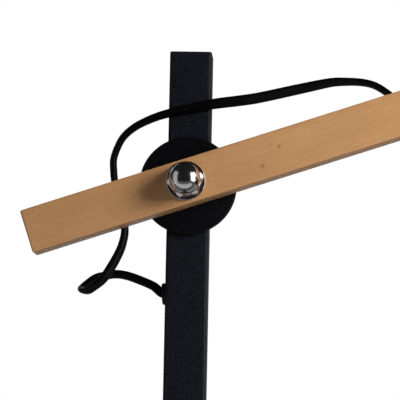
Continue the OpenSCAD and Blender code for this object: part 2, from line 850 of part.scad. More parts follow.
module switch_key() {
    front = -holder_d / 2 - rim_gap;
    inside = holder_wall + cut;
    color("#26262a") on_head() translate([0, front, key_z]) rotate([90, 0, 0]) {
        translate([0, 0, -rim_gap - inside]) cylinder(d = key_spindle_d, h = rim_gap + inside + cut);
        cylinder(d = key_collar_d, h = key_collar_h);
        translate([0, 0, key_collar_h + key_wing_l / 2]) rotate([0, 90, 0])
            linear_extrude(key_wing_t, center = true)
                soft_rectangle(key_wing_l + cut, key_wing_w, key_wing_l / 4);
    }
}

module shade_nut() {
    bore = thread_d + 2 * hole_gap;
    color("#1a1a1c") on_head() translate([0, 0, collar_bottom - fitting_t - fit_gap - shade_nut_h])
        ring(bore + 2 * shade_nut_wall, bore, shade_nut_h);
}

module shade_spider() {
    bore = thread_d + 2 * hole_gap;
    arm_start = bore / 2 + fitting_w / 2;
    color("#e8e4da") on_head() translate([0, 0, fitting_z]) {
        translate([0, 0, -fitting_t / 2]) ring(bore + 2 * fitting_w, bore, fitting_t);
        wire_ring(ring_r);
        for (i = [0 : spider_arms - 1]) rotate(90 + 360 * i / spider_arms) rotate([0, 90, 0])
            translate([0, 0, arm_start]) cylinder(d = fitting_t, h = ring_r - arm_start, $fn = 24);
    }
}

module shade_bottom_ring() {
    color("#e8e4da") on_head() translate([0, 0, shade_bottom + ring_inset]) wire_ring(ring_r);
}

module shade_fabric() {
    color("#d8cbb2") on_head() translate([0, 0, shade_bottom])
        ring(shade_d, shade_d - 2 * fabric_t, shade_h);
}

module bulb_cap() {
    tip = bulb_cap_h / 6;
    color("#c8c8c8") on_head() rotate_extrude() polygon([
        [0, bulb_top], [contact_d / 2, bulb_top], [bulb_cap_d / 2, bulb_top - tip],
        [bulb_cap_d / 2, bulb_cap_end], [0, bulb_cap_end]
    ]);
}

// The globe's outline: a round belly that runs in a straight line up to the cap
function globe_outline(r, neck_r) =
    let (lean = asin((r - neck_r) / bulb_drop))
    concat([for (k = [0 : 16]) let (a = -90 + (90 + lean) * k / 16) [r * cos(a), r * sin(a)]],
        [[neck_r, bulb_drop - fit_gap], [0, bulb_drop - fit_gap]]);

module bulb_globe() {
    neck_r = bulb_cap_d / 2;
    color("#f4f1e6") on_head() translate([0, 0, globe_z]) rotate_extrude() difference() {
        polygon(globe_outline(bulb_d / 2, neck_r));
        polygon(globe_outline(bulb_d / 2 - bulb_wall, neck_r - bulb_wall));
    }
}

base_plate();
base_felt();
base_screws();
post_foot_plug();
terminal_block();
post_tube();
post_top_cap();
mains_grommet();
post_cord_grommet();
post_flex();
friction_disc();
disc_pins();
friction_washer();
post_spacer();
pivot_bolt();
rear_washer();
cap_washer();
cap_nut();
jumper_flex();
arm_bar();
arm_bush();
arm_cord_bush();
arm_flex();
groove_cover();
arm_insert();
head_nipple();
knuckle_upper();
knuckle_screw();
knuckle_nut();
knuckle_lower();
drop_stem();
lampholder_cap();
lampholder_body();
lampholder_core();
centre_contact();
switch_key();
shade_nut();
shade_spider();
shade_bottom_ring();
shade_fabric();
bulb_cap();
bulb_globe();
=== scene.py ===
# %% [markdown]
# # A floor lamp with a wooden arm
# A black square post on a round base carries a wooden arm on a friction pivot. A flat black flex
# crosses from the post to the arm, and a linen drum shade hangs from a knuckle at the arm's end.
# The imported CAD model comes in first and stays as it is: every piece below is built around it.

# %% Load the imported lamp
import math

import bmesh
import bpy
from mathutils import Matrix, Vector


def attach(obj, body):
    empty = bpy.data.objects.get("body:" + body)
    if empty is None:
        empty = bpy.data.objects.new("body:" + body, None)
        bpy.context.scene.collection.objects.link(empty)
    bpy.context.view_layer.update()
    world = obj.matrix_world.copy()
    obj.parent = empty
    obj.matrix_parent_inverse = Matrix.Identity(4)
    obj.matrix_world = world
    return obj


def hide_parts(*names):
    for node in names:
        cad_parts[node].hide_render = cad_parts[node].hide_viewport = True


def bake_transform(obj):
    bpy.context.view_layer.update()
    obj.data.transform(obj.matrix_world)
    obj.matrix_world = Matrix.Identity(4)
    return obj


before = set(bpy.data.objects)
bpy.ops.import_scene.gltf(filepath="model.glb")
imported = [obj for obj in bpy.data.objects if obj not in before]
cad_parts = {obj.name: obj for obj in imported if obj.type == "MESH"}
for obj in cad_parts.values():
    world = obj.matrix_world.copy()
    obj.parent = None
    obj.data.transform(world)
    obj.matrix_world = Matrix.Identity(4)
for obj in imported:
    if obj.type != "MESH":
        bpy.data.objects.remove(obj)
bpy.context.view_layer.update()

MM = 0.001

# %% [markdown]
# The photograph is a close view of the pivot, taken from a little below and a little to the right
# with a long lens. A camera could be turned by three angles, but the axes of its own frame are
# plainer here: one back from the lamp, one to the right and one up, the last two rolled by a degree.

# %% Camera at the photograph's view
PIVOT = Vector((0, 0, 1.2))
AIM = PIVOT + Vector((6.644, 0, -6.829)) * MM
CAMERA_AWAY = 1.7
LONG_LENS = 255.85
SENSOR_WIDE = 36
azimuth, elevation, roll = (math.radians(a) for a in (2.605, -5.907, 1.156))

back = Vector((math.sin(azimuth) * math.cos(elevation),
               -math.cos(azimuth) * math.cos(elevation), math.sin(elevation)))
right = (-back).cross(Vector((0, 0, 1))).normalized()
up = right.cross(-back)
rolled_right = right * math.cos(roll) + up * math.sin(roll)
rolled_up = up * math.cos(roll) - right * math.sin(roll)

camera = bpy.data.objects.new("photo_camera", bpy.data.cameras.new("photo_camera"))
camera.data.sensor_fit = "HORIZONTAL"
camera.data.sensor_width = SENSOR_WIDE
camera.data.lens = LONG_LENS
camera.matrix_world = (Matrix.Translation(AIM + back * CAMERA_AWAY)
                       @ Matrix((rolled_right, rolled_up, back)).transposed().to_4x4())
scene = bpy.context.scene
scene.collection.objects.link(camera)
scene.camera = camera
print("camera at", [round(c, 3) for c in camera.matrix_world.translation])

# %% A helper that turns a bmesh into a finished piece
TRUE_CORNER = math.radians(32)


def finish_piece(name, shape, finish, body, node):
    """Links a piece."""
    mesh = bpy.data.meshes.new(name)
    shape.to_mesh(mesh)
    shape.free()
    mesh.shade_smooth()
    mesh.set_sharp_from_angle(angle=TRUE_CORNER)
    for layer in finish if isinstance(finish, list) else [finish]:
        mesh.materials.append(layer)
    piece = bpy.data.objects.new(name, mesh)
    scene.collection.objects.link(piece)
    if body:
        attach(piece, body)
    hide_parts(node)
    print(name, len(mesh.polygons), "faces")
    return piece

# %% [markdown]
# A finish is a Principled shader with its plain numbers on its own sockets, and textures only
# where the surface really changes from place to place. These helpers keep the node code short.

# %% Helpers for materials
def new_finish(name, **numbers):
    """A new material. An underscore in a number's name stands for a space in the socket's name."""
    finish = bpy.data.materials.new(name)
    finish.use_nodes = True
    tree = finish.node_tree
    shader = tree.nodes["Principled BSDF"]
    for socket, value in numbers.items():
        shader.inputs[socket.replace("_", " ")].default_value = value
    return finish, tree, shader


def add_node(tree, kind, inputs, **settings):
    node = tree.nodes.new(kind)
    for name, value in settings.items():
        setattr(node, name, value)
    for socket, value in inputs.items():
        if isinstance(value, bpy.types.NodeSocket):
            tree.links.new(value, node.inputs[socket])
        else:
            node.inputs[socket].default_value = value
    return node


def object_space(tree, turn=(0, 0, 0), shift=(0, 0, 0)):
    where = add_node(tree, "ShaderNodeTexCoord", {})
    return add_node(tree, "ShaderNodeMapping", {
        "Vector": where.outputs["Object"], "Rotation": turn, "Location": shift,
    }).outputs["Vector"]


def noise(tree, place, scale, detail=2, roughness=0.5):
    return add_node(tree, "ShaderNodeTexNoise", {
        "Vector": place, "Scale": scale, "Detail": detail, "Roughness": roughness,
    }).outputs["Fac"]


def ramp(tree, amount, stops):
    node = add_node(tree, "ShaderNodeValToRGB", {"Fac": amount})
    elements = node.color_ramp.elements
    while len(elements) < len(stops):
        elements.new(0.5)
    for element, (position, colour) in zip(elements, stops):
        element.position = position
        element.color = (*colour, 1)
    return node.outputs["Color"]


def spread(tree, amount, low, high, start=0.0, end=1.0):
    """Maps an amount between start and end to a number between low and high."""
    return add_node(tree, "ShaderNodeMapRange", {
        "Value": amount, "From Min": start, "From Max": end, "To Min": low, "To Max": high,
    }).outputs["Result"]


def bump(tree, shader, height, strength, distance):
    relief = add_node(tree, "ShaderNodeBump", {
        "Height": height, "Strength": strength, "Distance": distance,
    })
    tree.links.new(relief.outputs["Normal"], shader.inputs["Normal"])

# %% [markdown]
# Most of the lamp is black, but its blacks differ: powder coat, satin paint, rubber, moulded plastic
# and blackened steel each have their own tone, gloss and grain. One plain black for all would look
# cut out of paper. So one helper makes them, from a fine grain that gives tone and bump, and from
# wide clouds that give the gloss.

# %% A nearly black coat
COAT_CLOUDS = 38
COAT_RELIEF = 0.15 * MM


def black_coat(name, tone, roughness, grain, relief, shine=0.5, contrast=0.25):
    """A coat whose tone varies by the contrast; grain is how many grains lie in a metre."""
    finish, tree, shader = new_finish(name, Specular_IOR_Level=shine)
    place = object_space(tree)
    fine = noise(tree, place, grain, 3, 0.6)
    cloudy = noise(tree, place, COAT_CLOUDS, 3)
    dark = tuple(c * (1 - contrast) for c in tone)
    light = tuple(c * (1 + 1.4 * contrast) for c in tone)
    tree.links.new(ramp(tree, fine, [(0.3, dark), (0.62, light)]), shader.inputs["Base Color"])
    tree.links.new(spread(tree, cloudy, roughness - 0.06, roughness + 0.08, 0.3, 0.7),
                   shader.inputs["Roughness"])
    bump(tree, shader, fine, relief, COAT_RELIEF)
    return finish


flex_finish = black_coat("flex_sheath", (0.0008, 0.0008, 0.0010), roughness=0.42, grain=900,
                         relief=0.05, shine=0.2)
print("flex finish", len(flex_finish.node_tree.nodes), "nodes")

# %% [markdown]
# The flex is a flat twin cable: two cores side by side under one sheath, which gives it the section
# of a long oval, 6.5 by 4.3 mm. It leaves a grommet on the post, hangs out in a small loop, climbs
# behind the arm's tail, crosses the post in the slot behind the arm and goes into the arm's back. A
# bevelled curve would be quick, but its twist is hard to steer, so rings are set along the route and
# bridged, each with its own turn.

# %% Route of the flex, from the pivot: x, y, z in millimetres and the flat's turn in degrees
FLEX_ROUTE = [
    (-10.5, 0, -63.5, 46), (-15, 0, -63, 46), (-20, 0.5, -59, 46), (-28, 2.5, -55.5, 45),
    (-36.5, 6, -52.5, 44), (-43.5, 8.5, -51.5, 38), (-50, 9.5, -52.5, 35), (-55, 8.5, -54, 37),
    (-59, 4, -57.5, 40), (-62, -2.5, -61.5, 36), (-59, -10, -63, 26), (-54.5, -14, -60.5, 22),
    (-50, -15, -57, 21), (-46.5, -15, -52.5, 21), (-41, -14.5, -42.5, 26),
    (-38, -14.5, -34.5, 38), (-37, -14.5, -25.5, 46), (-40, -14.5, -12, 51),
    (-43.5, -14.5, 1.5, 55), (-44.5, -14.5, 10, 57), (-44.5, -14.5, 15.5, 61),
    (-42.5, -14.5, 22, 62), (-39, -15, 28.5, 56), (-33, -15.5, 34, 49), (-25, -15.5, 38.5, 42),
    (-14.5, -15.5, 42.5, 33), (0.5, -15.5, 46, 16), (14, -15.5, 49, -2), (30, -14, 51.5, -19),
    (42, -11, 54, -18), (65.5, -4, 60.5, -5), (83, 0, 65, 20), (92, 2, 66, 36), (101, 3, 66, 48),
    (109, 3, 64.5, 54), (116, 1.5, 60.5, 54), (122.5, -3, 54.5, 54), (127, -9, 47, 54),
    (129, -14.5, 43.5, 54), (129, -20.5, 43, 54),
]
RINGS_BETWEEN = 6


def smooth_between(a, b, c, d, u):
    """A point between b and c, at the share u, on the smooth curve through all four."""
    return (2 * b + (c - a) * u + (2 * a - 5 * b + 4 * c - d) * u * u
            + (3 * b - a - 3 * c + d) * u ** 3) / 2


def smooth_route(points, steps):
    last = len(points) - 1
    stations = []
    for i in range(last):
        near = [points[max(0, min(last, i + k))] for k in (-1, 0, 1, 2)]
        stations += [smooth_between(*near, k / steps) for k in range(steps)]
    return stations + [points[last]]


stations = smooth_route([Vector(point) for point in FLEX_ROUTE], RINGS_BETWEEN)
flex_path = [PIVOT + station.xyz * MM for station in stations]
flex_turns = [math.radians(station.w) for station in stations]
flex_length = sum((b - a).length for a, b in zip(flex_path, flex_path[1:]))
print("flex", len(flex_path), "rings,", round(flex_length, 4), "m long")

# %% Flat twin flex from the post to the arm
FLEX_WIDTH = 6.5 * MM
FLEX_THICK = 4.3 * MM
FLEX_SIDES = 36
DIP_SHARE = 0.06
DIP_WIDTH = 0.7 * MM


def flex_section(angle):
    """A long oval, which dips a little between the two cores."""
    wide = FLEX_WIDTH / 2 * math.cos(angle)
    thin = FLEX_THICK / 2 * math.sin(angle)
    return wide, thin * (1 - DIP_SHARE * math.exp(-(wide / DIP_WIDTH) ** 2))


def flex_ring(shape, centre, side, other):
    ring = bmesh.ops.create_circle(shape, radius=FLEX_WIDTH / 2, segments=FLEX_SIDES)["verts"]
    for k, vert in enumerate(ring):
        wide, thin = flex_section(2 * math.pi * k / FLEX_SIDES)
        vert.co = centre + side * wide + other * thin
    return list({edge for vert in ring for edge in vert.link_edges})


def flex_tube(path, turns, first):
    """The flat section swept along a path; first is the direction that turn 0 keeps to."""
    shape = bmesh.new()
    carried = Vector(first)
    loops = []
    for i, (centre, turn) in enumerate(zip(path, turns)):
        heading = (path[min(i + 1, len(path) - 1)] - path[max(i - 1, 0)]).normalized()
        carried = (carried - heading * carried.dot(heading)).normalized()
        across = heading.cross(carried)
        side = carried * math.cos(turn) + across * math.sin(turn)
        other = across * math.cos(turn) - carried * math.sin(turn)
        loops.append(flex_ring(shape, centre, side, other))
    for before, after in zip(loops, loops[1:]):
        bmesh.ops.bridge_loops(shape, edges=before + after)
    for edges in (loops[0], loops[-1]):
        bmesh.ops.contextual_create(shape, geom=edges)
    bmesh.ops.recalc_face_normals(shape, faces=shape.faces)
    return shape


shape = flex_tube(flex_path, flex_turns, (0, 0, 1))
flex = finish_piece("flat_flex", shape, flex_finish, None, "jumper_flex")
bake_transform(flex)

# %% [markdown]
# The photograph's ground is plain white. A lit backdrop would do, but its light would spill on the
# lamp. So the world itself is white where the camera, a reflection or glass looks at it, and sheds
# only a little light.

# %% White world
SOFT_LIGHT = 0.07
WHITE = (1, 1, 1, 1)


def rays_that_see(tree):
    """1 for rays from the camera, off a shiny surface or through glass, and 0 for light itself."""
    path = add_node(tree, "ShaderNodeLightPath", {})
    seen = add_node(tree, "ShaderNodeMath", {
        0: path.outputs["Is Camera Ray"], 1: path.outputs["Is Glossy Ray"]})
    return add_node(tree, "ShaderNodeMath", {
        0: seen.outputs[0], 1: path.outputs["Is Transmission Ray"]}, use_clamp=True).outputs[0]


world = bpy.data.worlds.new("white_studio")
world.use_nodes = True
scene.world = world
tree = world.node_tree
tree.nodes.clear()
soft_light = add_node(tree, "ShaderNodeBackground", {"Color": WHITE, "Strength": SOFT_LIGHT})
white_ground = add_node(tree, "ShaderNodeBackground", {"Color": WHITE, "Strength": 1.0})
chosen = add_node(tree, "ShaderNodeMixShader", {
    0: rays_that_see(tree), 1: soft_light.outputs[0], 2: white_ground.outputs[0]})
add_node(tree, "ShaderNodeOutputWorld", {"Surface": chosen.outputs[0]})
scene.view_settings.view_transform = "Standard"
print("world", scene.world.name, "sheds light of", SOFT_LIGHT)

# %% [markdown]
# The light is a broad one from the right, a little above and in front, with a second one from behind
# for the other sides and for the shadow on the floor. An area lamp would be stronger on the pieces
# near to it, and the shade hangs out towards the right, so both are sun lamps, wide enough to be
# soft.

# %% Two broad lights
def broad_light(name, direction, level, softness):
    """A sun lamp: at level 1, a surface that faces it shows its own written colour."""
    lamp = bpy.data.objects.new(name, bpy.data.lights.new(name, "SUN"))
    lamp.data.energy = level * math.pi
    lamp.data.angle = math.radians(softness)
    lamp.visible_camera = False
    lamp.visible_glossy = False
    lamp.matrix_world = Vector(direction).to_track_quat("Z", "Y").to_matrix().to_4x4()
    scene.collection.objects.link(lamp)


broad_light("key_light", (0.77, -0.58, 0.27), level=1.34, softness=28)
broad_light("back_light", (-0.30, 0.50, 0.81), level=0.85, softness=10)

# %% [markdown]
# Chrome and black coats show their surroundings more than their own colour. A whole room could be
# built, but a few cards are enough, which reflections alone can see: a softbox's white face, dark
# walls in front and on the right under a dark ceiling, a left wall that is grey at the front and dark
# further back, a dim wall behind, and ground that is pale just in front of the lamp and dim elsewhere.

# %% Cards for reflections
LEFT, RIGHT, FRONT, BEHIND = -2.5, 2.4, -1.7, 4.0
CORNER_LEFT = -2.34
GREY_ENDS = 0.09
WALL_LOW, CEILING = 0.02, 3.2
DARK, PALE = 0.012, 0.42


def card(name, corners, grey):
    """A flat card that only reflections see."""
    shape = bmesh.new()
    shape.faces.new([shape.verts.new(corner) for corner in corners])
    mesh = bpy.data.meshes.new(name)
    shape.to_mesh(mesh)
    shape.free()
    plain = bpy.data.materials.new(name)
    plain.use_nodes = True
    tree = plain.node_tree
    tree.nodes.clear()
    glow = add_node(tree, "ShaderNodeEmission", {"Color": (grey, grey, grey, 1)})
    add_node(tree, "ShaderNodeOutputMaterial", {"Surface": glow.outputs[0]})
    mesh.materials.append(plain)
    sheet = bpy.data.objects.new(name, mesh)
    scene.collection.objects.link(sheet)
    for rays in ("camera", "diffuse", "shadow", "transmission"):
        setattr(sheet, "visible_" + rays, False)


def wall(name, start, end, grey):
    """An upright card over a line on the floor."""
    card(name, [(*start, WALL_LOW), (*end, WALL_LOW), (*end, CEILING), (*start, CEILING)], grey)


def level_card(name, x_from, x_to, y_from, y_to, grey, height=0.001):
    card(name, [(x_from, y_from, height), (x_to, y_from, height), (x_to, y_to, height),
                (x_from, y_to, height)], grey)


wall("dark_front", (CORNER_LEFT, FRONT), (RIGHT, FRONT), DARK)
wall("dark_right", (RIGHT, FRONT), (RIGHT, BEHIND), DARK)
wall("dim_left", (LEFT, GREY_ENDS), (LEFT, BEHIND), 0.03)
wall("dim_back", (0.0, BEHIND), (RIGHT, BEHIND), 0.3)
wall("grey_left", (CORNER_LEFT, FRONT), (LEFT, GREY_ENDS), PALE)
level_card("dark_ceiling", LEFT, RIGHT, FRONT, BEHIND, DARK, CEILING)

# %% Softbox face and ground
FACE_WIDE, FACE_TALL, FACE_DROP, FACE_AWAY, FACE_GLOW = 1.4, 1.92, 0.355, 2.0, 3.0
GROUND_LEFT, GROUND_RIGHT, PALE_FROM, PALE_TO, DIM_TO = -2.3, 1.5, -0.95, -0.05, 0.6

face_place = PIVOT + Vector((0.93, -0.32, 0.27)).normalized() * FACE_AWAY
facing = (Matrix.Translation(face_place)
          @ (face_place - PIVOT).to_track_quat("Z", "Y").to_matrix().to_4x4())
card("softbox_face", [facing @ Vector((x * FACE_WIDE / 2, y * FACE_TALL / 2 - FACE_DROP, 0))
                      for x, y in ((-1, -1), (1, -1), (1, 1), (-1, 1))], FACE_GLOW)
level_card("pale_ground", GROUND_LEFT, GROUND_RIGHT, PALE_FROM, PALE_TO, PALE)
level_card("dim_ground", GROUND_LEFT, GROUND_RIGHT, PALE_TO, DIM_TO, 0.06)
level_card("far_ground", -7.5, 7.5, DIM_TO, 7.9, 0.2)
level_card("right_ground", GROUND_RIGHT, RIGHT, FRONT, DIM_TO, 0.08)
level_card("near_ground", GROUND_LEFT, GROUND_RIGHT, FRONT, PALE_FROM, 0.08)
print("softbox face at", [round(c, 2) for c in face_place])

# %% [markdown]
# The lamp stands on a plain pale floor, which takes its shadow. A square floor would show slanting
# edges in views from the side, so it is a disc, and away from the lamp it fades into the white
# ground, so that no horizon shows.

# %% Pale floor
FLOOR_RADIUS = 12
FADE_FROM, FADE_TO = 0.5, 8.0
NEAR_GLOW, FAR_GLOW = 0.33, 1.0
FLOOR_TONES = [(0.3, (0.40, 0.40, 0.397)), (0.7, (0.43, 0.43, 0.427))]

floor_finish, tree, shader = new_finish("pale_floor", Roughness=0.9, Specular_IOR_Level=0.0)
place = object_space(tree)
tree.links.new(ramp(tree, noise(tree, place, 3, 4), FLOOR_TONES), shader.inputs["Base Color"])
white = add_node(tree, "ShaderNodeEmission", {"Color": WHITE})
away = add_node(tree, "ShaderNodeVectorMath", {0: place}, operation="LENGTH").outputs["Value"]
fade = add_node(tree, "ShaderNodeMapRange", {
    "Value": away, "From Min": FADE_FROM, "From Max": FADE_TO, "To Min": NEAR_GLOW, "To Max": FAR_GLOW,
}, interpolation_type="SMOOTHSTEP").outputs["Result"]
share = add_node(tree, "ShaderNodeMath", {0: rays_that_see(tree), 1: fade}, operation="MULTIPLY")
both = add_node(tree, "ShaderNodeMixShader", {
    0: share.outputs[0], 1: shader.outputs[0], 2: white.outputs[0]})
tree.links.new(both.outputs[0], tree.nodes["Material Output"].inputs["Surface"])

shape = bmesh.new()
bmesh.ops.create_circle(shape, cap_ends=True, radius=FLOOR_RADIUS, segments=128)
mesh = bpy.data.meshes.new("floor")
shape.to_mesh(mesh)
shape.free()
mesh.materials.append(floor_finish)
floor = bpy.data.objects.new("floor", mesh)
scene.collection.objects.link(floor)
print("floor", FLOOR_RADIUS, "m in radius")

# %% [markdown]
# Most of the metal is turned on a lathe, and Blender's lathe is the spin operator: half of the
# outline is drawn once and spun round an axis. A full spin merges its last ring into its first.
# Edges that a file or a polishing wheel would break are bevelled afterwards.

# %% Helpers for turned pieces
MERGE_GAP = 1e-6


def lathe(outline, steps=96):
    """Spins an outline of radii and heights; one that doesn't start on the axis is closed first."""
    shape = bmesh.new()
    points = [shape.verts.new((radius * MM, 0, height * MM)) for radius, height in outline]
    edges = [shape.edges.new(pair) for pair in zip(points, points[1:])]
    if outline[0][0] > 0:
        edges.append(shape.edges.new((points[-1], points[0])))
    bmesh.ops.spin(shape, geom=points + edges, cent=(0, 0, 0), axis=(0, 0, 1),
                   angle=2 * math.pi, steps=steps, use_merge=True)
    bmesh.ops.remove_doubles(shape, verts=shape.verts, dist=MERGE_GAP)
    bmesh.ops.recalc_face_normals(shape, faces=shape.faces)
    return shape


def soften(shape, width, segments=3, corner=30, which=None):
    """Bevels the edges that turn by more than corner degrees, or those of them that which picks."""
    edges = [edge for edge in shape.edges if len(edge.link_faces) == 2
             and edge.calc_face_angle() > math.radians(corner) and (which is None or which(edge))]
    bmesh.ops.bevel(shape, geom=edges, offset=width * MM, offset_type="OFFSET",
                    segments=segments, profile=0.5, affect="EDGES", material=-1,
                    clamp_overlap=True)
    return shape


def plain_ring(inner, outer, low, high):
    """The outline of a plain ring, or of a disc where the inner radius is 0."""
    return [(inner, low), (outer, low), (outer, high), (inner, high)]


def turned(name, outline, place, finish, body, node, edge=0, steps=96):
    shape = lathe(outline, steps)
    if edge:
        soften(shape, edge)
    shape.transform(place)
    return finish_piece(name, shape, finish, body, node)


def on_pivot(depth):
    """A place on the pivot: the axis points to the front, and starts at a depth in millimetres."""
    return Matrix.Translation((0, depth * MM, PIVOT.z)) @ Matrix.Rotation(math.pi / 2, 4, "X")

# %% [markdown]
# The post is stock square tube, 25 mm wide with 2 mm corners, in a black powder coat. That coat is
# not flat: it bakes to a fine orange peel that takes the shine off, which the bump gives. A cube
# with its four upright edges bevelled is the whole shape, because the grommets, the washer and the
# disc cover every hole.

# %% Powder-coated post with its top cap
POST_WIDE, POST_CORNER, POST_LOW, POST_TOP, CAP_TOP = 25, 2, 14, 1279, 1281
CAP_EDGE = 0.7
powder_black = black_coat("powder_coat_black", (0.0049, 0.0062, 0.0087), roughness=0.46, grain=900,
                          relief=0.6, shine=0.2, contrast=0.5)
cap_black = black_coat("moulded_cap_black", (0.0060, 0.0072, 0.0098), roughness=0.50, grain=1100,
                       relief=0.1, shine=0.15)


def block(size, centre):
    """A box in millimetres, which the bevels then shape."""
    shape = bmesh.new()
    place = Matrix.Translation(Vector(centre) * MM) @ Matrix.Diagonal((*(Vector(size) * MM), 1))
    bmesh.ops.create_cube(shape, size=1, matrix=place)
    return shape


def square_bar(low, top):
    shape = block((POST_WIDE, POST_WIDE, top - low), (0, 0, (low + top) / 2))
    return soften(shape, POST_CORNER, segments=6,
                  which=lambda e: abs(e.verts[0].co.z - e.verts[1].co.z) > MM)


shape = square_bar(POST_LOW, POST_TOP)
finish_piece("post", shape, powder_black, "stand", "post_tube")
shape = square_bar(POST_TOP, CAP_TOP)
soften(shape, CAP_EDGE, corner=60,
       which=lambda e: min(v.co.z for v in e.verts) > (CAP_TOP - 0.1) * MM)
finish_piece("post_cap", shape, cap_black, "stand", "post_top_cap")

# %% [markdown]
# Between post and arm sits a satin black disc with a rounded rim. It could be a cylinder with a
# bevel, but it is turned in a real workshop, and the lathe helper already does both.

# %% Black disc
DISC_RADIUS, DISC_THICK, DISC_RIM = 29, 5, 1.3
disc_black = black_coat("satin_disc_black", (0.0025, 0.0023, 0.0031), roughness=0.42, grain=1000,
                        relief=0.12, shine=0.15, contrast=0.5)
turned("pivot_disc", plain_ring(0, DISC_RADIUS, 0, DISC_THICK), on_pivot(-POST_WIDE / 2), disc_black,
       "stand", "friction_disc", edge=DISC_RIM, steps=128)

# %% [markdown]
# On the arm, a chrome washer and a domed cap nut close the pivot. Chrome is a mirror with a faint
# haze, so only its roughness varies. A hexagon could be extruded for the nut, but the slope on its
# corners is easier on a lathe shape: its rim is pushed in to six flats, and the slope that is turned
# on its corners drops lower where a corner stands out more.

# %% Chrome washer
WASHER_SEAT, WASHER_THICK = -40.35, 2
chrome, tree, shader = new_finish("nut_chrome", Base_Color=(0.78, 0.78, 0.80, 1), Metallic=1.0)
tree.links.new(spread(tree, noise(tree, object_space(tree), 420, 3), 0.15, 0.21, 0.35, 0.75),
               shader.inputs["Roughness"])
turned("chrome_washer", plain_ring(6.2, 11.5, 0, WASHER_THICK), on_pivot(WASHER_SEAT), chrome,
       "stand", "cap_washer", edge=0.45, steps=128)

# %% Domed cap nut
NUT_FLATS, NUT_DOME, NUT_BORE, BORE_DEEP = 19, 9, 6.05, 16
NUT_CORNER = NUT_FLATS / math.sqrt(3)
HEX_TOP, DOME_FOOT = 10, 13
NUT_SLOPE = math.tan(math.radians(42))
NUT_TURN = math.radians(11)
SAME_RADIUS = 0.01


def arc(centre, radius, start, end, steps):
    """Points on a circle in a lathe outline, from one angle to another."""
    return [(centre[0] + radius * math.cos(math.radians(start + (end - start) * k / steps)),
             centre[1] + radius * math.sin(math.radians(start + (end - start) * k / steps)))
            for k in range(steps + 1)]


def six_flats(shape, reach, flats):
    """Pushes the points at one radius of a lathe shape in to six flats, and returns them."""
    pushed = []
    for vert in shape.verts:
        radius = math.hypot(vert.co.x, vert.co.y) / MM
        if abs(radius - reach) < SAME_RADIUS:
            bearing = math.degrees(math.atan2(vert.co.y, vert.co.x))
            flat = flats / 2 / math.cos(math.radians((bearing + 360) % 60 - 30))
            vert.co.x *= flat / radius
            vert.co.y *= flat / radius
            pushed.append((vert, flat))
    return pushed


shape = lathe([(NUT_BORE, 0), (NUT_CORNER, 0), (NUT_CORNER, HEX_TOP - 1), (NUT_DOME, HEX_TOP)]
              + arc((0, DOME_FOOT), NUT_DOME, 0, 90, 24) + [(0, BORE_DEEP), (NUT_BORE, BORE_DEEP)], 144)
for vert, flat in six_flats(shape, NUT_CORNER, NUT_FLATS):
    if vert.co.z > MM:
        vert.co.z = (HEX_TOP - (flat - NUT_DOME) * NUT_SLOPE) * MM
soften(shape, 0.3, corner=20)
shape.transform(on_pivot(WASHER_SEAT - WASHER_THICK) @ Matrix.Rotation(NUT_TURN, 4, "Z"))
finish_piece("domed_nut", shape, chrome, "stand", "cap_nut")

# %% [markdown]
# The arm is a planed bar of a pale, even hardwood with an oiled face. Its grain runs along it, so
# the texture space is turned by the arm's tilt and stretched lengthwise. Four layers make its colour:
# painted light that leaves it darker towards the tail and lighter to the right, slow clouds, fine
# streaks, and short dark flecks. Three pin knots, small as a match head, sit in its front face. The
# bar's back has a groove for the flex, which a strip of the same wood closes. A boolean could cut the
# groove, but four cuts with a plane and an inset leave cleaner faces.

# %% Oiled wood
ARM_DEEP = 22
ARM_TILT = math.radians(18.5)
ARM_MID = -29.2
# Each knot's place along and across the arm and its radius in millimetres, then its depth of tone
PIN_KNOTS = [(53.8, 5.6, 1.1, 0.4), (58.0, 3.2, 1.7, 0.75), (45.4, -5.0, 1.8, 0.65)]
KNOT_BROWN = (0.20, 0.085, 0.030, 1)
STRIP_SHIFT = 0.37


def mix_colour(tree, amount, first, second, blend="MIX"):
    node = add_node(tree, "ShaderNodeMix", {}, data_type="RGBA", blend_type=blend)
    for socket, value in (("Factor_Float", amount), ("A_Color", first), ("B_Color", second)):
        inlet = next(s for s in node.inputs if s.identifier == socket)
        if isinstance(value, bpy.types.NodeSocket):
            tree.links.new(value, inlet)
        else:
            inlet.default_value = value
    return next(s for s in node.outputs if s.identifier == "Result_Color")


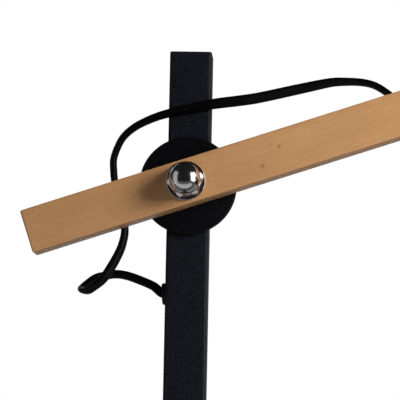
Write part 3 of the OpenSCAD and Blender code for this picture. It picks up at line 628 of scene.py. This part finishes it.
def wood(name, shift):
    """Wood along the arm. The shift slides its figure, so that two pieces don't look alike."""
    finish, tree, shader = new_finish(name, IOR=1.45, Coat_Weight=0.12, Coat_Roughness=0.35)

    def along_arm(stretch):
        turned_space = object_space(tree, turn=(0, ARM_TILT, 0), shift=(
            shift - PIVOT.z * math.sin(ARM_TILT), -ARM_MID * MM, -PIVOT.z * math.cos(ARM_TILT)))
        return add_node(tree, "ShaderNodeMapping", {
            "Vector": turned_space, "Scale": stretch}).outputs["Vector"]

    slow = noise(tree, along_arm((20, 75, 75)), 1, 3)
    streaks = noise(tree, along_arm((75, 700, 700)), 1, 4, 0.6)
    flecks = noise(tree, along_arm((300, 1300, 1300)), 1, 2)
    # Painted light: a slow wave makes the arm darker towards the tail and lighter to the right, as
    # light that falls off along it.
    painted_light_drift = add_node(tree, "ShaderNodeTexWave", {
        "Vector": along_arm((1, 1, 1)), "Scale": 0.57, "Distortion": 0.4, "Phase Offset": 1.34})
    tone = ramp(tree, painted_light_drift.outputs["Fac"], [(0.0, (0.86, 0.85, 0.84)), (1.0, (1.13, 1.12, 1.12))])
    body = ramp(tree, slow, [(0.30, (0.470, 0.246, 0.103)), (0.52, (0.500, 0.266, 0.115)),
                             (0.72, (0.525, 0.282, 0.123))])
    lines = ramp(tree, streaks, [(0.30, (0.82, 0.80, 0.78)), (0.58, (1, 1, 1))])
    marks = ramp(tree, flecks, [(0.30, (0.74, 0.71, 0.68)), (0.52, (1, 1, 1))])
    colour = mix_colour(tree, 1.0, body, tone, "MULTIPLY")
    colour = mix_colour(tree, 0.4, colour, lines, "MULTIPLY")
    colour = mix_colour(tree, 0.36, colour, marks, "MULTIPLY")
    knots = along_arm((1, 1, 1))
    for along, across, size, depth in PIN_KNOTS:
        gap = add_node(tree, "ShaderNodeVectorMath", {
            0: knots, 1: (along * MM + shift, -ARM_DEEP / 2 * MM, across * MM)}, operation="DISTANCE")
        near = spread(tree, gap.outputs["Value"], depth, 0.0, 0.0, size * MM)
        colour = mix_colour(tree, near, colour, KNOT_BROWN)
    tree.links.new(colour, shader.inputs["Base Color"])
    tree.links.new(spread(tree, streaks, 0.52, 0.40, 0.3, 0.7), shader.inputs["Roughness"])
    bump(tree, shader, streaks, 0.25, 0.08 * MM)
    return finish


arm_wood = wood("oiled_wood", 0.0)
strip_wood = wood("oiled_wood_strip", STRIP_SHIFT)
print("wood", len(arm_wood.node_tree.nodes), "nodes")

# %% Arm bar with its groove
ARM_TALL, ARM_TAIL, ARM_REACH, ARM_EDGE = 26, 98, 700, 1.1
GROOVE_FROM, GROOVE_TO, GROOVE_HALF, GROOVE_DEEP = 143.2, 672.3, 3.5, 3.05
on_arm = Matrix.Translation((0, ARM_MID * MM, PIVOT.z)) @ Matrix.Rotation(-ARM_TILT, 4, "Y")

shape = block((ARM_REACH + ARM_TAIL, ARM_DEEP, ARM_TALL), ((ARM_REACH - ARM_TAIL) / 2, 0, 0))
soften(shape, ARM_EDGE, segments=4)
for point, normal in (((GROOVE_FROM, 0, 0), (1, 0, 0)), ((GROOVE_TO, 0, 0), (1, 0, 0)),
                      ((0, 0, GROOVE_HALF), (0, 0, 1)), ((0, 0, -GROOVE_HALF), (0, 0, 1))):
    bmesh.ops.bisect_plane(shape, geom=shape.verts[:] + shape.edges[:] + shape.faces[:],
                           plane_co=Vector(point) * MM, plane_no=normal, dist=1e-7)
floor_of_groove = [
    face for face in shape.faces if face.normal.y > 0.99
    and GROOVE_FROM < face.calc_center_median().x / MM < GROOVE_TO
    and abs(face.calc_center_median().z / MM) < GROOVE_HALF]
bmesh.ops.inset_region(shape, faces=floor_of_groove, thickness=0.02 * MM,
                       depth=-GROOVE_DEEP * MM, use_even_offset=True)
print("groove faces", len(floor_of_groove))
shape.transform(on_arm)
finish_piece("arm", shape, arm_wood, "arm", "arm_bar")

# %% Strip that closes the groove
STRIP_FROM, STRIP_TO, STRIP_WIDE, STRIP_THICK, STRIP_EDGE = 143.5, 672, 6.8, 3, 0.35
shape = block((STRIP_TO - STRIP_FROM, STRIP_THICK, STRIP_WIDE),
              ((STRIP_FROM + STRIP_TO) / 2, (ARM_DEEP - STRIP_THICK) / 2, 0))
soften(shape, STRIP_EDGE)
shape.transform(on_arm)
finish_piece("groove_strip", shape, strip_wood, "arm", "groove_cover")

# %% [markdown]
# Rubber grommets line the holes where flex and lead pass through the post and into the arm. A torus
# would only give the rim, so the whole section is turned, with the neck and the barb that hold it in
# its hole. The flex that springs upwards from the post pulls its grommet a few degrees out of square.
# The arm's bush is plainer and has a neck alone.

# %% Grommets and the arm's cord bush
FLEX_EXIT, LEAD_ENTRY, ARM_ENTRY = 1136.5, 76, 136
GROMMET_RIM = 6.5
PULLED = math.radians(-3.5)
rubber = black_coat("grommet_rubber", (0.0014, 0.0014, 0.0015), roughness=0.55, grain=700, relief=0.06)


def grommet_outline(bore):
    neck = bore / 2 + 1.5
    barb = [(bore / 2, -3.6), (neck + 0.75, -3.6), (neck + 1.5, -2), (neck, -2), (neck, 0)]
    rim = arc((GROMMET_RIM - 1.2, 1.2), 1.2, 0, 90, 5) + arc((bore / 2 + 0.8, 1.6), 0.8, 90, 180, 5)
    return barb + [(GROMMET_RIM, 0)] + rim


to_left = Matrix.Rotation(-math.pi / 2, 4, "Y")
to_back = Matrix.Rotation(-math.pi / 2, 4, "X")
place = (Matrix.Translation((-POST_WIDE / 2 * MM, 0, FLEX_EXIT * MM))
         @ Matrix.Rotation(PULLED, 4, "Y") @ to_left)
turned("flex_grommet", grommet_outline(7.8), place, rubber, "stand",
       "post_cord_grommet")
place = Matrix.Translation((0, POST_WIDE / 2 * MM, LEAD_ENTRY * MM)) @ to_back
turned("lead_grommet", grommet_outline(7), place, rubber, "stand", "mains_grommet")
place = on_arm @ Matrix.Translation((ARM_ENTRY * MM, ARM_DEEP / 2 * MM, 0)) @ to_back
turned("arm_bush_ring", [(3.6, -3), (4.6, -3), (4.6, 0), (6.5, 0)] + arc((5.5, 0.8), 1, 0, 90, 5)
       + arc((4.4, 1.0), 0.8, 90, 180, 5), place, rubber, "arm", "arm_cord_bush")

# %% [markdown]
# The lamp stands on a round steel plate in the same powder coat, with felt glued under it. Felt has
# no weave, and grown hairs would be lost under a lamp, so one fine noise gives the fuzz of its tone
# and its bump.

# %% Base plate and felt
BASE_RADIUS, BASE_LOW, BASE_EDGE = 150, 2, 1.5
FELT_RADIUS, FELT_EDGE = 146, 0.5
turned("base", plain_ring(0, BASE_RADIUS, BASE_LOW, POST_LOW), Matrix.Identity(4), powder_black,
       "stand", "base_plate", edge=BASE_EDGE, steps=160)

felt_finish, tree, shader = new_finish("grey_felt", Roughness=0.95, Sheen_Weight=0.3)
fuzz = noise(tree, object_space(tree), 900, 5, 0.7)
tree.links.new(ramp(tree, fuzz, [(0.3, (0.028, 0.028, 0.030)), (0.7, (0.055, 0.055, 0.058))]),
               shader.inputs["Base Color"])
bump(tree, shader, fuzz, 0.6, 0.3 * MM)
felt = turned("felt_pad", plain_ring(0, FELT_RADIUS, 0, BASE_LOW), Matrix.Identity(4), felt_finish,
              "stand", "base_felt", edge=FELT_EDGE, steps=160)

# %% [markdown]
# Behind the post, a blackened bolt holds the pivot together. A boolean could cut the hexagon socket
# in its low round head, but it is cleaner as a round pocket in the lathe outline, whose wall is
# pushed in to six flats as on the nut.

# %% Pivot bolt and its washer
SOCKET_REACH, SOCKET_FLATS = 4.62, 8
BOLT_SEAT = -14.5
black_steel = black_coat("blackened_steel", (0.0060, 0.0062, 0.0070), roughness=0.38, grain=420,
                         relief=0.04)
shape = lathe([(0, -17.5), (SOCKET_REACH, -17.5), (SOCKET_REACH, -21)]
              + arc((5.8, -16.8), 4.2, -90, 0, 8)
              + [(10, BOLT_SEAT), (5.95, BOLT_SEAT), (5.95, 42), (5.2, 43), (0, 43)])
six_flats(shape, SOCKET_REACH, SOCKET_FLATS)
shape.transform(on_pivot(0))
finish_piece("pivot_screw", shape, black_steel, "stand", "pivot_bolt")
turned("back_washer", plain_ring(6.1, 12, BOLT_SEAT, -POST_WIDE / 2), on_pivot(0), black_steel,
       "stand", "rear_washer", edge=0.3)

# %% [markdown]
# At the arm's end hangs a knuckle of two like halves. Each is a short drum with a flat ear. The ear's
# outline could be drawn point by point, but it is quicker as a circle whose upper half is pulled
# straight up, and which an extrusion then thickens.

# %% Head knuckle
KNUCKLE_ALONG, KNUCKLE_DOWN = 678, 35
EAR_RADIUS, EAR_TOP, EAR_THICK, EAR_GAP = 9.7, 10.6, 7, 0.15
on_knuckle = on_arm @ Matrix.Translation((KNUCKLE_ALONG * MM, 0, -KNUCKLE_DOWN * MM))
on_head = Matrix.Translation(on_knuckle.translation)


def joined(*shapes):
    """One bmesh made of several."""
    whole = shapes[0]
    for shape in shapes[1:]:
        part = bpy.data.meshes.new("part")
        shape.to_mesh(part)
        shape.free()
        whole.from_mesh(part)
        bpy.data.meshes.remove(part)
    return whole


def knuckle_half():
    ear = bmesh.new()
    rim = bmesh.ops.create_circle(ear, cap_ends=True, radius=EAR_RADIUS * MM, segments=64)["verts"]
    for vert in rim:
        if vert.co.y > 0.01 * MM:
            vert.co.y = EAR_TOP * MM
    grown = bmesh.ops.extrude_face_region(ear, geom=ear.faces[:])["geom"]
    bmesh.ops.translate(ear, vec=(0, 0, -EAR_THICK * MM),
                        verts=[v for v in grown if isinstance(v, bmesh.types.BMVert)])
    bmesh.ops.recalc_face_normals(ear, faces=ear.faces)
    soften(ear, 0.5, corner=60)
    ear.transform(Matrix.Translation((0, EAR_GAP * MM, 0)) @ Matrix.Rotation(math.pi / 2, 4, "X"))
    drum = lathe(plain_ring(5.1, 10, 10, 22))
    return joined(soften(drum, 0.6), ear)


for name, place, body, node in (
        ("knuckle_top", on_knuckle, "arm", "knuckle_upper"),
        ("knuckle_bottom", on_head @ Matrix.Rotation(math.pi, 4, "X"), "head", "knuckle_lower")):
    shape = knuckle_half()
    shape.transform(place)
    finish_piece(name, shape, black_steel, body, node)

# %% [markdown]
# A thumbscrew pinches the two ears. A bump in its finish could show the knurl, but its outline would
# stay smooth, so every other line of points is pushed in. The small nut behind is a lathe ring pushed
# to six flats. Its zinc plate is never one even tone, and other plain pieces further down wander
# between two tones in the same way.

# %% Thumbscrew
KNURL_REACH, KNURL_DEEP, KNURL_LINES = 7, 0.4, 72
on_screw = on_knuckle @ Matrix.Rotation(math.pi / 2, 4, "X")


def knurled(outline, reach, depth, lines):
    shape = lathe(outline, lines)
    for vert in shape.verts:
        radius = math.hypot(vert.co.x, vert.co.y) / MM
        line = round(math.atan2(vert.co.y, vert.co.x) / (2 * math.pi) * lines)
        if abs(radius - reach) < SAME_RADIUS and line % 2:
            vert.co.x *= (reach - depth) / reach
            vert.co.y *= (reach - depth) / reach
    return shape


shape = knurled([(0, -12.1), (2.2, -12.1), (2.5, -11.6), (2.5, 7.45), (6.3, 7.45),
                 (KNURL_REACH, 8.1), (KNURL_REACH, 14.6), (6.4, 15.2), (4.6, 15.45), (0, 15.1)],
                KNURL_REACH, KNURL_DEEP, KNURL_LINES)
shape.transform(on_screw)
finish_piece("thumbscrew", shape, black_steel, "thumbscrew", "knuckle_screw")

# %% Small zinc nut
SMALL_CORNER = 4.6


def mottled(name, dark, light, scale, roughness, **numbers):
    """A finish that wanders between two tones and two degrees of roughness."""
    finish, tree, shader = new_finish(name, **numbers)
    cloud = noise(tree, object_space(tree), scale, 4)
    tree.links.new(ramp(tree, cloud, [(0.3, dark), (0.7, light)]), shader.inputs["Base Color"])
    tree.links.new(spread(tree, cloud, *roughness, 0.3, 0.7), shader.inputs["Roughness"])
    return finish


zinc = mottled("zinc_plate", (0.46, 0.46, 0.47), (0.60, 0.60, 0.62), 160, (0.24, 0.40), Metallic=1.0)
shape = lathe([(2.52, -11.15), (3.7, -11.15), (SMALL_CORNER, -10.7), (SMALL_CORNER, -7.6),
               (3.7, -7.15), (2.52, -7.15)])
six_flats(shape, SMALL_CORNER, SMALL_CORNER * math.sqrt(3))
shape.transform(on_screw)
finish_piece("small_nut", shape, zinc, "arm", "knuckle_nut")

# %% [markdown]
# The stem leads down to the lampholder. Its cap and body are moulded, so the cap has a rounded
# shoulder, and a collar on the body seats the shade. A thread could be a stack of plain rings, but
# the spin operator also takes a shift per step, so that one tooth, which sinks by one pitch per turn,
# makes a whole thread.

# %% Stem and lampholder cap
moulded_black = black_coat("moulded_black", (0.0060, 0.0060, 0.0066), roughness=0.42, grain=900,
                           relief=0.05)
turned("stem", plain_ring(4, 5, -62, -14), on_head, black_steel, "head", "drop_stem",
       edge=0.3, steps=64)
shoulder = arc((12.05, -60), 4, 180, 245, 6) + arc((17, -70.6), 3, 62, 0, 6)
turned("holder_cap", [(5.05, -54), (8.05, -54), (8.05, -60)] + shoulder
       + [(20, -81.4), (19.4, -82), (17, -82), (17, -71), (5.05, -66)], on_head, moulded_black,
       "head", "lampholder_cap")

# %% Lampholder body with its thread
THREAD_STEPS = 48


def screw_thread(radius, depth, pitch, top, turns):
    shape = bmesh.new()
    root = radius - depth
    tooth = [(root, 0), (radius, 0.3 * pitch), (radius, 0.6 * pitch), (root, pitch)]
    points = [shape.verts.new((r * MM, 0, (top - pitch + h) * MM)) for r, h in tooth]
    edges = [shape.edges.new(pair) for pair in zip(points, points[1:])]
    bmesh.ops.spin(shape, geom=points + edges, cent=(0, 0, 0), axis=(0, 0, 1),
                   angle=2 * math.pi * turns, dvec=(0, 0, -pitch * MM / THREAD_STEPS),
                   steps=round(THREAD_STEPS * turns), use_merge=False)
    bmesh.ops.remove_doubles(shape, verts=shape.verts, dist=MERGE_GAP)
    bmesh.ops.recalc_face_normals(shape, faces=shape.faces)
    return shape


sleeve = lathe([(17, -82), (19.4, -82), (20, -82.6), (20, -94), (23.4, -94), (24, -94.6), (24, -97.4),
                (23.4, -98), (18.8, -98), (18.8, -117.2), (18.2, -118), (17, -118)])
shape = joined(sleeve, screw_thread(radius=19.5, depth=0.8, pitch=2.5, top=-98, turns=6.5))
shape.transform(on_head)
finish_piece("holder_body", shape, moulded_black, "head", "lampholder_body")

# %% [markdown]
# A key on the lampholder switches the lamp. Its wing could be an outline that is extruded, but a box
# needs only two bevels: a wide one on its two outer corners, then a narrow one on every sharp edge.
# It stands on a small turned collar.

# %% Switch key
KEY_FRONT, KEY_DOWN = 20.3, 73
WING_THICK, WING_WIDE, WING_TALL, WING_MID = 4, 16, 11, 8
on_key = (on_head @ Matrix.Translation((0, -KEY_FRONT * MM, -KEY_DOWN * MM))
          @ Matrix.Rotation(math.pi / 2, 4, "X"))
wing = block((WING_THICK, WING_WIDE, WING_TALL), (0, 0, WING_MID))
soften(wing, 2.5, segments=6, corner=60, which=lambda e: e.verts[0].co.z > WING_MID * MM
       and abs(e.verts[0].co.x - e.verts[1].co.x) > 3 * MM)
soften(wing, 0.7, corner=60)
collar = lathe([(0, -2.5), (2, -2.5), (2, 0), (5, 0), (5, 3), (0, 3)], 64)
shape = joined(wing, soften(collar, 0.4))
shape.transform(on_key)
finish_piece("switch_wing", shape, moulded_black, "switch", "switch_key")

# %% [markdown]
# The shade hangs on a spider of white coated wire, which a knurled ring nut clamps to the lampholder.
# Wire is often made as a bevelled curve, but here a mesh is as short: a ring is a small circle spun
# round the shade's axis, and the three arms are thin cylinders laid from the hub to the upper ring.

# %% Ring nut
SHADE_BORE = 19.7
GRIP_REACH, GRIP_DEEP, GRIP_LINES = 24.7, 0.5, 96
shape = knurled([(SHADE_BORE, -107), (24, -107), (GRIP_REACH, -106.4), (GRIP_REACH, -100.7),
                 (24, -100.1), (SHADE_BORE, -100.1)], GRIP_REACH, GRIP_DEEP, GRIP_LINES)
shape.transform(on_head)
finish_piece("ring_nut", shape, moulded_black, "head", "shade_nut")

# %% Spider and bottom ring
SPIDER_HEIGHT, BOTTOM_HEIGHT = -99, -283
HUB_RADIUS, RING_RADIUS, WIRE_RADIUS = 26.7, 126.6, 2
ROD_LONG, ROD_MID = 103.4, 74.9
wire_white = mottled("wire_coating", (0.66, 0.64, 0.58), (0.74, 0.72, 0.66), 55, (0.36, 0.48))


def wire_ring(height):
    return lathe(arc((RING_RADIUS, height), WIRE_RADIUS, 0, 330, 11), 160)


hub = lathe(plain_ring(SHADE_BORE, HUB_RADIUS, SPIDER_HEIGHT - 1, SPIDER_HEIGHT + 1))
spider = [wire_ring(SPIDER_HEIGHT), soften(hub, 0.4)]
lying = Matrix.Translation((ROD_MID * MM, 0, SPIDER_HEIGHT * MM)) @ Matrix.Rotation(math.pi / 2, 4, "Y")
for bearing in (90, 210, 330):
    rod = bmesh.new()
    bmesh.ops.create_cone(rod, cap_ends=True, segments=20, radius1=MM, radius2=MM, depth=ROD_LONG * MM,
                          matrix=Matrix.Rotation(math.radians(bearing), 4, "Z") @ lying)
    spider.append(rod)
shape = joined(*spider)
shape.transform(on_head)
finish_piece("spider", shape, wire_white, "head", "shade_spider")
shape = wire_ring(BOTTOM_HEIGHT)
shape.transform(on_head)
finish_piece("bottom_wire", shape, wire_white, "head", "shade_bottom_ring")

# %% [markdown]
# The drum is linen on a stiff white lining. The outline has a hem folded over each edge, and the
# cloth is unrolled into a UV map in metres, so that two crossing wave textures weave it at the same
# scale all round. Linen yarn is uneven: thick places, the slubs, run along both sets of threads.

# %% Linen and lining
SLUB_LONG, SLUB_FINE = 22, 520
# The brown between the threads is painted shade in the weave's recesses.
GAP_SHADE_BROWN = (0.30, 0.24, 0.16, 1)
linen, tree, shader = new_finish("natural_linen", Roughness=0.9, Sheen_Weight=0.25)
unrolled = add_node(tree, "ShaderNodeTexCoord", {}).outputs["UV"]


def threads(direction):
    return add_node(tree, "ShaderNodeTexWave", {
        "Vector": unrolled, "Scale": 360, "Distortion": 2.2, "Detail": 2, "Detail Scale": 0.4,
    }, bands_direction=direction).outputs["Fac"]


def slubs(along, up):
    stretched = add_node(tree, "ShaderNodeMapping", {"Vector": unrolled, "Scale": (along, up, 1)})
    return noise(tree, stretched.outputs["Vector"], 1, 4)


weave = add_node(tree, "ShaderNodeMath", {0: threads("X"), 1: threads("Y")},
                 operation="MULTIPLY").outputs[0]
level_yarn = ramp(tree, slubs(SLUB_LONG, SLUB_FINE), [(0.3, (0.54, 0.46, 0.33)),
                                                      (0.7, (0.66, 0.58, 0.44))])
upright_yarn = ramp(tree, slubs(SLUB_FINE, SLUB_LONG), [(0.3, (0.80, 0.79, 0.77)), (0.65, (1, 1, 1))])
yarn = mix_colour(tree, 0.8, level_yarn, upright_yarn, "MULTIPLY")
# Painted shade: where the weave is low, between the threads, the yarn darkens towards a brown.
painted_gap_shade = spread(tree, weave, 0.0, 0.45, 0.7, 0.1)
tree.links.new(mix_colour(tree, painted_gap_shade, yarn, GAP_SHADE_BROWN), shader.inputs["Base Color"])
bump(tree, shader, weave, 0.5, 0.25 * MM)

lining = mottled("white_lining", (0.78, 0.77, 0.74), (0.84, 0.83, 0.80), 30, (0.80, 0.92),
                 Specular_IOR_Level=0.2)
print("linen", len(linen.node_tree.nodes), "nodes")

# %% Drum shade
INSIDE, OUTSIDE, HEM = 128.8, 130, 130.3
SHADE_LOW, SHADE_TOP = -286, -96
cloth = lathe([(INSIDE, SHADE_LOW), (OUTSIDE, SHADE_LOW), (HEM, SHADE_LOW + 0.4),
               (HEM, SHADE_LOW + 8.6), (OUTSIDE, SHADE_LOW + 9), (OUTSIDE, SHADE_TOP - 9),
               (HEM, SHADE_TOP - 8.6), (HEM, SHADE_TOP - 0.4), (OUTSIDE, SHADE_TOP),
               (INSIDE, SHADE_TOP)], 192)
unwrap = cloth.loops.layers.uv.new("unrolled")
for face in cloth.faces:
    middle = face.calc_center_median()
    face.material_index = 1 if math.hypot(middle.x, middle.y) < (INSIDE + 0.05) * MM else 0
    bearing = math.atan2(middle.y, middle.x)
    for loop in face.loops:
        x, y, z = loop.vert.co
        step = (math.atan2(y, x) - bearing + math.pi) % (2 * math.pi) - math.pi
        loop[unwrap].uv = ((bearing + step) * OUTSIDE * MM, z)
cloth.transform(on_head)
shade = finish_piece("linen_drum", cloth, [linen, lining], "head", "shade_fabric")

# %% [markdown]
# The bulb is an opal globe on a screw cap. Opal glass scatters light inside, which is slow to render
# in full, so it is mostly a white surface with a clear gloss and a little light passing through.

# %% Bulb
GLOBE_MID, GLOBE_RADIUS, GLASS = -175.6, 30, 1
NECK_LOW, NECK_ANGLE = -113.7, 16.4
bulb_metal = mottled("pressed_cap", (0.58, 0.58, 0.60), (0.72, 0.72, 0.74), 220, (0.22, 0.38),
                     Metallic=1.0)
plug = lathe([(0, -113.6), (12.3, -113.6), (12.3, -92), (9, -90), (4, -89.6), (0, -89.6)])
shape = joined(plug, screw_thread(radius=13, depth=0.7, pitch=3.6, top=-94, turns=4.6))
shape.transform(on_head)
finish_piece("bulb_screw", shape, bulb_metal, "head", "bulb_cap")

opal = mottled("opal_glass", (0.84, 0.83, 0.79), (0.90, 0.89, 0.86), 25, (0.10, 0.18), IOR=1.5,
               Transmission_Weight=0.25)
outer_wall = arc((0, GLOBE_MID), GLOBE_RADIUS, NECK_ANGLE, -90, 28)
inner_wall = arc((0, GLOBE_MID), GLOBE_RADIUS - GLASS, -90, NECK_ANGLE, 28)
turned("opal_globe", [(12, NECK_LOW), (13, NECK_LOW)] + outer_wall + inner_wall, on_head, opal,
       "head", "bulb_globe")

# %% [markdown]
# Some CAD pieces stay as they are, because they sit out of sight inside the lamp. They only get
# their finishes. The flex inside the post and in the arm's groove is swept like the free one.

# %% Pieces inside the lamp
fibre = mottled("pressed_fibre", (0.055, 0.030, 0.016), (0.090, 0.055, 0.032), 500, (0.7, 0.85))
nylon = mottled("plain_nylon", (0.66, 0.60, 0.44), (0.74, 0.68, 0.52), 90, (0.38, 0.50))
brass = mottled("turned_brass", (0.62, 0.44, 0.17), (0.76, 0.56, 0.26), 140, (0.20, 0.34), Metallic=1.0)
cream = mottled("cream_moulding", (0.72, 0.69, 0.60), (0.79, 0.77, 0.69), 70, (0.40, 0.52))
ceramic = mottled("plain_ceramic", (0.78, 0.77, 0.73), (0.86, 0.85, 0.82), 120, (0.55, 0.70))
inside = {zinc: ["base_screws", "post_foot_plug", "disc_pins", "post_spacer", "head_nipple"],
          fibre: ["friction_washer"], nylon: ["arm_bush"], brass: ["arm_insert", "centre_contact"],
          cream: ["terminal_block"], ceramic: ["lampholder_core"]}
for finish, nodes in inside.items():
    for node in nodes:
        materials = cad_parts[node].data.materials
        materials.clear()
        materials.append(finish)
print("finished inside:", sum(len(nodes) for nodes in inside.values()), "CAD pieces")

# %% Flex inside the post and the arm
def hidden_flex(name, points, place, first, body, node):
    route = [place @ (point * MM) for point in smooth_route([Vector(p) for p in points], 3)]
    shape = flex_tube(route, [0] * len(route), first)
    finish_piece(name, shape, flex_finish, body, node)


hidden_flex("flex_in_post", [(0, 0, 62), (0, 0, 600), (0, 0, 1110), (0, 0, 1124.5), (-1.8, 0, 1132),
                             (-4.4, 0, 1135.5), (-10.2, 0, FLEX_EXIT)], Matrix.Identity(4), (0, 1, 0),
            "stand", "post_flex")
hidden_flex("flex_in_arm", [(ARM_ENTRY, 8, 0), (136.7, 6.9, 0), (138.5, 6.2, 0), (141.3, 5.9, 0),
                            (400, 5.9, 0), (672, 5.9, 0)], on_arm, (0, 0, 1), "arm", "arm_flex")
